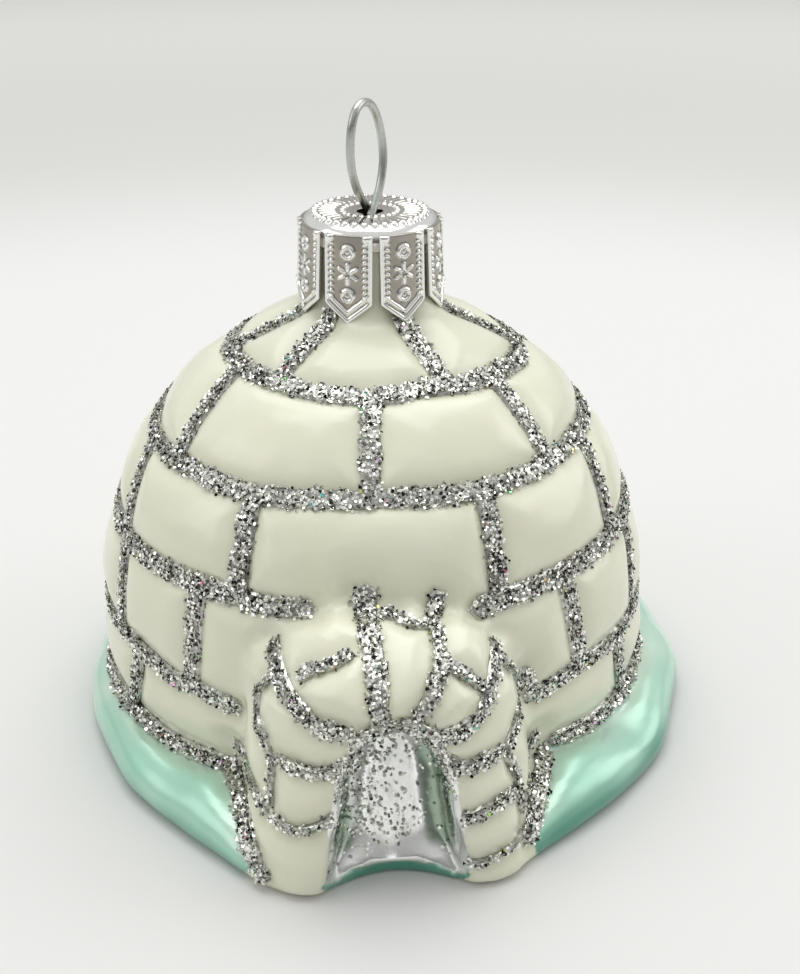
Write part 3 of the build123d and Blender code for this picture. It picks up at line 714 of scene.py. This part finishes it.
def build_bead(width, points, normals, seed):
    """A line of glue as a grid of rows across it, with what its flakes need.

    Its width, its middle and its height waver along it.
    """
    along = unit(np.gradient(points, axis=0))
    aside = np.cross(normals, along)
    run = np.arange(len(points)) * TRACE
    to_end = np.minimum(run, run[-1] - run)
    half = width / 2 * (1 + waves(points, ((1.7, 0.10, seed), (0.8, 0.07, seed + 1))))
    taper = np.clip(to_end / (width / 2), 0, 1)
    half = half * np.sqrt(np.clip(1 - (1 - taper) ** 2, 0.05, 1))
    middle = points + aside * waves(points, ((3.0, 0.14, seed + 2),))[:, None]

    across = np.linspace(-1, 1, LANES + 1)
    offsets = half[:, None] * across
    top = middle[:, None] + aside[:, None] * offsets[..., None]
    top, facing = settle(top, 2)
    proud = GLUE_PROUD * np.sqrt(np.clip(1 - across ** 2, 0, 1)) * np.sqrt(taper)[:, None]
    proud = proud * (1 + waves(top, ((1.2, 0.25, seed + 3),)))
    top = top + facing * (block_crest(np.abs(offsets)) + line_valley(np.abs(offsets))
                          + proud)[..., None]
    sunk = [top[:, i] - facing[:, i] * (GLUE_ROOT + proud[:, i:i + 1])
            for i in (LANES - 1, LANES // 2, 1)]
    rows = np.concatenate([top, np.stack(sunk, 1)], 1)
    return rows, top, facing, aside, along, half


def bead_faces(count, ring):
    """Faces of a closed tube of rows, with an end on each side."""
    i, j = np.meshgrid(np.arange(count - 1), np.arange(ring), indexing="ij")
    i, j = i.ravel(), j.ravel()
    beyond = (j + 1) % ring
    walls = np.stack([i * ring + j, (i + 1) * ring + j,
                      (i + 1) * ring + beyond, i * ring + beyond], 1)
    end = np.arange(ring)[None]
    return walls, end, end[:, ::-1] + (count - 1) * ring


def make_flakes(places, facing, random):
    """Hexagonal flakes as closed six-sided pyramids, broad side out."""
    count = len(places)
    tilt = unit(facing + random.normal(0, FLAKE_TILT, (count, 3)))
    side = unit(np.cross(tilt, random.normal(0, 1, (count, 3))))
    other = np.cross(tilt, side)
    radius = FLAKE_R * random.uniform(0.75, 1.2, count)
    corners = []
    for step in range(6):
        turn = math.radians(60 * step)
        corners.append(places + (side * math.cos(turn) + other * math.sin(turn)) * radius[:, None])
    corners.append(places - tilt * FLAKE_DEPTH)
    vertices = np.stack(corners, 1).reshape(-1, 3)
    base = (np.arange(count) * FLAKE_POINTS)[:, None]
    sides = np.concatenate([base + np.array([[(k + 1) % 6, k, 6]]) for k in range(6)])
    return vertices, [base + np.arange(6)[None], sides]


def painted_flake_glints(random, vertices, bright=0.70, dull=0.84):
    """Painted brightness of each flake, bright ones painted glints and dark ones a painted
    reflection of dark surroundings, and how far along the rainbow a few are, for each vertex.
    """
    count = len(vertices) // FLAKE_POINTS
    kind = random.random(count)
    tone = np.where(kind < bright, random.uniform(*GLINT_TONE, count),
                    np.where(kind < dull, random.uniform(*DULL, count),
                             random.uniform(*DARK_REFLECTION_TONE, count)))
    tint = np.where(random.random(count) < TINTED, random.uniform(0.2, 1.0, count), 0)
    return np.repeat(tone, FLAKE_POINTS), np.repeat(tint, FLAKE_POINTS)


def scatter_flakes(bead, random):
    """Flakes thick over a line of glue."""
    top, facing, aside, along, half = bead[1:]
    number = int(2 * half.sum() * TRACE * FLAKES_PER_MM2)
    row = random.choice(len(half), number, p=half / half.sum())
    lane = random.beta(0.9, 0.9, number) * LANES
    left = np.minimum(lane.astype(int), LANES - 1)
    share = (lane - left)[:, None]
    place = top[row, left] * (1 - share) + top[row, left + 1] * share
    out = facing[row, left]
    place = place + along[row] * random.uniform(-0.5, 0.5, (number, 1)) * TRACE
    place = place + aside[row] * random.normal(0, FLAKE_STRAY, (number, 1))
    place = place + out * random.uniform(*FLAKE_LIFT, (number, 1))
    lean = out + aside[row] * (lane * 2 / LANES - 1)[:, None] * -0.5
    return make_flakes(place, lean, random)


def build_glitter(paths):
    """One piece for each CAD node of glitter: its lines of glue, thick with flakes."""
    random = np.random.default_rng(11)
    items = {}
    for index, (node, width, points, normals) in enumerate(paths):
        items.setdefault(node, []).append((width, points, normals, index * 5))
    made = []
    for node, lines in items.items():
        parts, tone, tint = [], [], []
        for line in lines:
            bead = build_bead(*line)
            count, ring = bead[0].shape[:2]
            flakes = scatter_flakes(bead, random)
            parts += [(bead[0].reshape(-1, 3), bead_faces(count, ring)), flakes]
            # Each flake's painted glint.
            shade, colour = painted_flake_glints(random, flakes[0])
            tone += [np.full(count * ring, 0.5), shade]
            tint += [np.zeros(count * ring), colour]
        item = make_object(node.replace("glitter", "sparkle"), *joined(parts), False,
                           tone=np.concatenate(tone), tint=np.concatenate(tint))
        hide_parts(node)
        made.append(item)
    return made


def read_polygons(items, name, width):
    """One property of all the items' polygons."""
    parts = []
    for item in items:
        read = np.empty(len(item.data.polygons) * width)
        item.data.polygons.foreach_get(name, read)
        parts.append(read.reshape(-1, width))
    return np.concatenate(parts)


def sprinkle_doorway(items):
    """Loose flakes on the doorway's silvering, thickest round its arch and at its left."""
    random = np.random.default_rng(5)
    centres = read_polygons(items, "center", 3) / MM
    normals = read_polygons(items, "normal", 3)
    areas = read_polygons(items, "area", 1)[:, 0]
    open_air = igloo_field(centres + normals * 0.4) > igloo_field(centres)
    lining = door_field(*centres.T, 0) + outside_field(*centres.T) - SILVER_OUT
    inside = ease(0.5, -0.2, lining)
    x, z = centres[:, 0] - PORCH_X, centres[:, 2]

    # Where they lie: along the arch, high up, at the left, in the middle, and few at the edge.
    arch = ease(-4.5, -2.5, lining) * ease(10.5, 15.0, z)
    high = ease(10.5, 16.5, z)
    left = np.exp(-((x + 2.8) / 2.4) ** 2) * ease(2.5, 4.5, z)
    middle = np.exp(-((x - 0.6) / 2.6) ** 2) * ease(2.0, 5.0, z)
    edge = ease(-3.0, -1.5, lining) * ease(8.0, 4.0, z)
    weight = (0.07 + 0.8 * high + 1.4 * arch + 0.6 * left + 0.15 * middle) * (1 - 0.8 * edge)
    weight = weight * areas * open_air * inside
    number = DOORWAY_FLAKES
    chosen = random.choice(len(weight), number, p=weight / weight.sum())
    places = centres[chosen] + random.normal(0, 0.15, (number, 3)) + normals[chosen] * 0.08
    vertices, faces = make_flakes(places, normals[chosen], random)
    # Painted glints, with fewer painted dark reflections than on the lines.
    tone, tint = painted_flake_glints(random, vertices, 0.78, 0.97)
    return make_object("sparkle_doorway", vertices, faces, False, tone=tone, tint=tint)


# --- Cap and wire ---

def bump(distance, radius, height):
    """A round ridge: full at its middle, gone at its radius."""
    return height * np.sqrt(np.clip(1 - (distance / radius) ** 2, 0, 1))


def dots(along, pitch):
    """Distance along a row to its nearest dot."""
    return np.abs(np.mod(along, pitch) - pitch / 2)


def prong_relief(across, down, half, length):
    """Pressed pattern of one prong: a bead border, and a ring, a star and a ring."""
    edge = half - np.abs(across)
    tip = (length - down - np.abs(across) * PRONG_TIP_H / half) * TIP_SLOPE
    height = bump(np.minimum(edge, tip) - 0.2, 0.3, 0.2)  # raised rim
    beads = np.hypot(edge - 0.8, dots(down - 0.55, 0.66))
    height += np.where((tip > 0.95) & (down > 0.7), bump(beads, 0.27, 0.24), 0)
    knob = np.hypot(edge - 0.6, down - 0.3)  # in each upper corner
    height = np.maximum(height, bump(knob, 0.5, 0.34))
    height += np.where(tip > 0.3, bump(tip - 0.9, 0.26, 0.22) * (edge > 0.5), 0)
    for centre in PRONG_RINGS:
        away = np.hypot(across, down - centre)
        height += bump(away - 0.6, 0.24, 0.26) + bump(away, 0.24, 0.16)
    out = np.hypot(across, down - PRONG_STAR)
    turn = np.arctan2(across, down - PRONG_STAR)  # six arms
    arm = np.abs(np.mod(turn + math.pi / 6, math.pi / 3) - math.pi / 6) * out
    return height + bump(arm, 0.22, 0.22) * (out < 1.25) * (out > 0.3)


def sheet_solid(outer, inner):
    """A closed sheet between two grids of points with the same rows and columns."""
    rows, columns = outer.shape[:2]
    count = rows * columns
    vertices = np.vstack([outer.reshape(-1, 3), inner.reshape(-1, 3)])
    i, j = np.meshgrid(np.arange(rows - 1), np.arange(columns - 1), indexing="ij")
    at = (i * columns + j).ravel()
    front = np.stack([at, at + 1, at + columns + 1, at + columns], 1)
    back = front[:, ::-1] + count
    loop = np.concatenate([np.arange(columns), np.arange(1, rows) * columns + columns - 1,
                           (rows - 1) * columns + np.arange(columns - 2, -1, -1),
                           np.arange(rows - 2, 0, -1) * columns])
    after = np.roll(loop, -1)
    sides = np.stack([after, loop, loop + count, after + count], 1)
    return vertices, [front, back, sides]


def round_axis(radius, turn, height):
    """Points by their radius, bearing and height."""
    return np.stack([radius * np.sin(turn), -radius * np.cos(turn), height], -1)


def crown_sheet(fine):
    """Ribbed and beaded crown: rows go out from the hole and down over the shoulder."""
    flat = np.linspace(CAP_HOLE_R, CAP_RIM_R - SHOULDER_R, 40 // fine)
    bend = np.radians(np.linspace(0, 90, 18 // fine))[1:]
    low = CAP_TOP_Z - SHOULDER_R
    radius = np.concatenate([flat, CAP_RIM_R - SHOULDER_R + SHOULDER_R * np.sin(bend),
                             np.full(CROWN_DROP, CAP_RIM_R)])
    height = np.concatenate([np.full(len(flat), CAP_TOP_Z), low + SHOULDER_R * np.cos(bend),
                             np.linspace(low, CROWN_END_Z, CROWN_DROP + 1)[1:]])
    out_r = np.concatenate([np.zeros(len(flat)), np.sin(bend), np.ones(CROWN_DROP)])[:, None]
    out_z = np.concatenate([np.ones(len(flat)), np.cos(bend), np.zeros(CROWN_DROP)])[:, None]
    turns = np.radians(np.linspace(540, 180, 288 // fine + 1))
    r, turn = np.meshgrid(radius, turns, indexing="ij")
    level = np.broadcast_to(height[:, None], r.shape)

    rib = (0.5 + 0.5 * np.cos(RIB_COUNT * turn)) ** 2.5
    lift = RIB_HEIGHT * rib * ease(3.6, 4.2, r) * ease(6.0, 5.5, r)
    for ring_at, count, first, size, rise in CROWN_BEADS:
        apart = dots(turn / (2 * math.pi) * count + first, 1) * 2 * math.pi * r / count
        lift += bump(np.hypot(r - ring_at, apart), size, rise)
    lift -= 0.12 * ease(2.8, 1.6, r)  # sunk round the hole
    outer, inner = (round_axis(r + out_r * offset, turn, level + out_z * offset)
                    for offset in (lift, -CAP_SHEET))
    # Painted highlight round the shoulder.
    edge = ease(6.4, 6.8, r) * ease(CAP_TOP_Z - 1.3, CAP_TOP_Z - 0.9, level)
    # The third value is a painted highlight: brighter on the ribs and beads, and round the
    # shoulder.
    return outer, inner, 0.02 + 0.35 * lift + 0.14 * edge


def prong_sheet(index, fine):
    """One embossed prong: rows go down it, columns across it."""
    length = PRONG_ROOT_Z - CAP_BOTTOM_Z + PRONG_UNDER
    half = math.pi * (CAP_RIM_R + CAP_FLARE / 2) / PRONG_COUNT - PRONG_GAP / 2
    share, side = np.meshgrid(np.linspace(0, 1, 64 // fine), np.linspace(1, -1, 40 // fine),
                              indexing="ij")
    down = share * (length - PRONG_TIP_H * np.abs(side))
    across = side * half
    base = CAP_RIM_R + PRONG_OUT + CAP_FLARE * down / length
    lift = prong_relief(across, down, half, length)
    turn = math.radians(360 / PRONG_COUNT * (index + 0.5)) + across / base
    outer, inner = (round_axis(base + offset, turn, PRONG_ROOT_Z + PRONG_UNDER - down)
                    for offset in (lift, -CAP_SHEET))
    # The relief's height also serves as the prong's painted highlight.
    return outer, inner, lift


def build_cap():
    """Pressed cap: the crown, and eight prongs that start under its edge."""
    fine = 1
    parts, raised = [], []
    for outer, inner, lift in [crown_sheet(fine)] + [prong_sheet(index, fine)
                                                     for index in range(PRONG_COUNT)]:
        parts.append(sheet_solid(outer, inner))
        raised += [lift.ravel(), np.zeros(lift.size)]
    item = make_object("pressed_cap", *joined(parts), raised=np.concatenate(raised))
    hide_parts("cap")
    return item


def build_wire():
    """Sprung wire loop: two legs cross in the cap's hole."""
    top = WIRE_HALF[-1][1]
    side = WIRE_R + 0.05  # the legs pass each other in the hole
    leg = [(along, side * min(1, (top - z) / 6), z) for along, z in WIRE_HALF]
    route = leg + [(-along, -aside, z) for along, aside, z in leg[-2::-1]]
    path = evenly(curve_through(route, 600), 0.35)
    path[:, 0] -= LOOP_LEAN * np.clip((path[:, 2] - CAP_TOP_Z) / 12, 0, 1) ** 1.3
    turn = math.radians(LOOP_TURN)
    along, aside = path[:, 0], path[:, 1]
    path = np.stack([along * math.cos(turn) - aside * math.sin(turn),
                     along * math.sin(turn) + aside * math.cos(turn), path[:, 2]], -1)
    heading = unit(np.gradient(path, axis=0))
    across = unit(np.cross(heading, np.array([-math.sin(turn), math.cos(turn), 0])))
    other = np.cross(heading, across)
    rounds = np.radians(np.arange(WIRE_SIDES) * 360 / WIRE_SIDES)[:, None]
    rows = path[:, None] + WIRE_R * (across[:, None] * np.cos(rounds)
                                     + other[:, None] * np.sin(rounds))
    faces = [part[:, ::-1] for part in bead_faces(len(path), WIRE_SIDES)]
    item = make_object("sprung_wire", rows.reshape(-1, 3), faces)
    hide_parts("hanger_wire")
    return item


# --- Materials ---

def attribute_value(tree, name):
    node = tree.nodes.new("ShaderNodeAttribute")
    node.attribute_name = name
    return node.outputs["Fac"]


def math_value(tree, operation, first, second):
    return add_node(tree, "ShaderNodeMath", operation, _0=first, _1=second).outputs["Value"]


def noise_value(tree, scale, detail):
    """A noise in the frame's metres, mostly between 0.3 and 0.7."""
    place = add_node(tree, "ShaderNodeTexCoord")
    texture = add_node(tree, "ShaderNodeTexNoise", Vector=place.outputs["Object"],
                       Scale=scale, Detail=detail)
    return texture.outputs["Fac"]


def spread(tree, value):
    """A noise spread over 0 to 1."""
    return map_range(tree, value, From_Min=0.3, From_Max=0.7)


def edge_share(tree, attribute, wobble, width):
    """0 to 1 across a paint edge that an attribute marks, a little uneven."""
    shifted = math_value(tree, "ADD", attribute_value(tree, attribute), wobble)
    return map_range(tree, shifted, True, From_Min=-width, From_Max=width)


def glass_material(name):
    """Blown glass: cream enamel, teal lacquer and bare silvering under one clear gloss, with
    painted shade on the lacquer's rim and the doorway's sides, and a painted reflection in the
    doorway.
    """
    material = bpy.data.materials.new(name)
    tree = nodes_of(material)
    broad = spread(tree, noise_value(tree, 90, 3.0))
    grain = noise_value(tree, 420, 3.0)
    fine = spread(tree, grain)

    cream = mix_colour(tree, broad, (0.745, 0.76, 0.575, 1), (0.80, 0.81, 0.65, 1))
    cream = mix_colour(tree, fine, cream, (0.78, 0.78, 0.61, 1))
    teal = mix_colour(tree, broad, (0.33, 0.66, 0.50, 1), (0.44, 0.73, 0.58, 1))
    silver = mix_colour(tree, fine, (0.86, 0.87, 0.85, 1), (0.95, 0.95, 0.93, 1))
    # Painted shade below 0; above 0 the lacquer's paler tone and, on the silvering, a painted
    # reflection.
    shade = attribute_value(tree, "shade")
    painted_shade, thin = (map_range(tree, shade, From_Max=full) for full in (-1.0, 1.0))
    # Painted shade on the lacquer's rim and in the scoop; paler where the lacquer is thin.
    teal = mix_colour(tree, painted_shade, teal, (0.07, 0.30, 0.215, 1))
    teal = mix_colour(tree, thin, teal, (0.70, 0.80, 0.68, 1))
    # Painted shade at the doorway's sides, and a painted reflection between.
    silver = mix_colour(tree, painted_shade, silver, (0.34, 0.43, 0.34, 1))
    silver = mix_colour(tree, thin, silver, (0.93, 0.94, 0.90, 1))

    wobble = math_value(tree, "ADD", grain, -0.5)
    enamelled = edge_share(tree, "paint", wobble, 0.12)
    painted = edge_share(tree, "lining", wobble, 0.16)
    colour = mix_colour(tree, painted, silver, mix_colour(tree, enamelled, teal, cream))
    metal = mix_value(tree, painted, 0.9, mix_value(tree, enamelled, 0.3, 0.0))
    rough = mix_value(tree, painted, mix_value(tree, thin, 0.17, 0.22),
                      mix_value(tree, enamelled, 0.34, 0.42))
    relief = add_node(tree, "ShaderNodeBump", Height=grain, Strength=0.12, Distance=0.0004)
    add_shader(tree, Base_Color=colour, Metallic=metal, Roughness=rough,
               Normal=relief.outputs["Normal"], Coat_Weight=0.8, Coat_Roughness=0.16,
               Coat_IOR=1.45)
    return material


def glitter_material():
    """Silver flakes: each has its own painted brightness, from a painted glint to a painted
    reflection of dark surroundings; a few have a colour.
    """
    material = bpy.data.materials.new("silver_glitter")
    tree = nodes_of(material)
    tone, tint = attribute_value(tree, "tone"), attribute_value(tree, "tint")
    place = add_node(tree, "ShaderNodeTexCoord")
    # Voronoi cells vary each flake's painted glint.
    cells = add_node(tree, "ShaderNodeTexVoronoi", Vector=place.outputs["Object"], Scale=2600.0)
    grain = map_range(tree, cells.outputs["Color"], To_Min=0.5, To_Max=1.3)
    silver = add_node(tree, "ShaderNodeVectorMath", "SCALE", _0=(0.99, 1.0, 0.92),
                      _3=math_value(tree, "MULTIPLY", tone, grain))
    rainbow = add_node(tree, "ShaderNodeHueSaturation", Color=(0.75, 0.35, 0.25, 1), Hue=tint)
    colour = mix_colour(tree, math_value(tree, "GREATER_THAN", tint, 0.1),
                        silver.outputs["Vector"], rainbow.outputs["Color"])
    add_shader(tree, Base_Color=colour, Metallic=1.0, Roughness=0.2)
    return material


def metal_material(name, colour, dull, bright, roughness, streak):
    """Bright pressed or drawn metal with faint handling marks, with painted shade in its hollows:
    a painted highlight brightens what stands out.
    """
    material = bpy.data.materials.new(name)
    tree = nodes_of(material)
    marks = noise_value(tree, streak, 3.0)
    # Painted highlight, where the sheet stands out and round the cap's shoulder.
    rise = map_range(tree, attribute_value(tree, "raised"), From_Max=0.16)
    shade = mix_colour(tree, spread(tree, noise_value(tree, 260, 4.0)), colour, dull)
    shade = mix_colour(tree, rise, shade, bright)
    rough = mix_value(tree, spread(tree, marks), roughness * 0.75, roughness * 1.3)
    relief = add_node(tree, "ShaderNodeBump", Height=marks, Strength=0.10, Distance=0.0002)
    add_shader(tree, Base_Color=shade, Metallic=1.0, Roughness=rough,
               Normal=relief.outputs["Normal"])
    return material


def dress(item, material, body):
    item.data.materials.clear()
    item.data.materials.append(material)
    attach(item, body)


# --- Putting it together ---

add_camera()
add_floor()
add_lights()
paths = glue_paths()
dome, porch, niche, foot = split_glass(*build_glass(paths))
for item, node, slot in ((dome, "dome_glass", "pearl_enamel"),
                         (porch, "porch_glass", "pearl_enamel"),
                         (niche, "doorway_niche", "silvered_glass"),
                         (foot, "foot_glass", "teal_lacquer")):
    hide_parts(node)
    dress(item, glass_material(slot + "_" + node), "ornament")

sparkle = glitter_material()
for item in build_glitter(paths) + [sprinkle_doorway((niche, porch, dome))]:
    dress(item, sparkle, "ornament")

# The cap's dark warm colour is a painted reflection of the enamel and the room that its prongs
# face; its near-white colour is its painted highlight.
dress(build_cap(), metal_material("cap_metal", (0.45, 0.42, 0.37, 1), (0.36, 0.335, 0.295, 1),
                                  (0.93, 0.93, 0.90, 1), 0.14, 900), "ornament")
dress(build_wire(), metal_material("hook_wire", (0.60, 0.62, 0.58, 1), (0.40, 0.42, 0.39, 1),
                                   (0.60, 0.62, 0.58, 1), 0.32, 1500), "hanger")
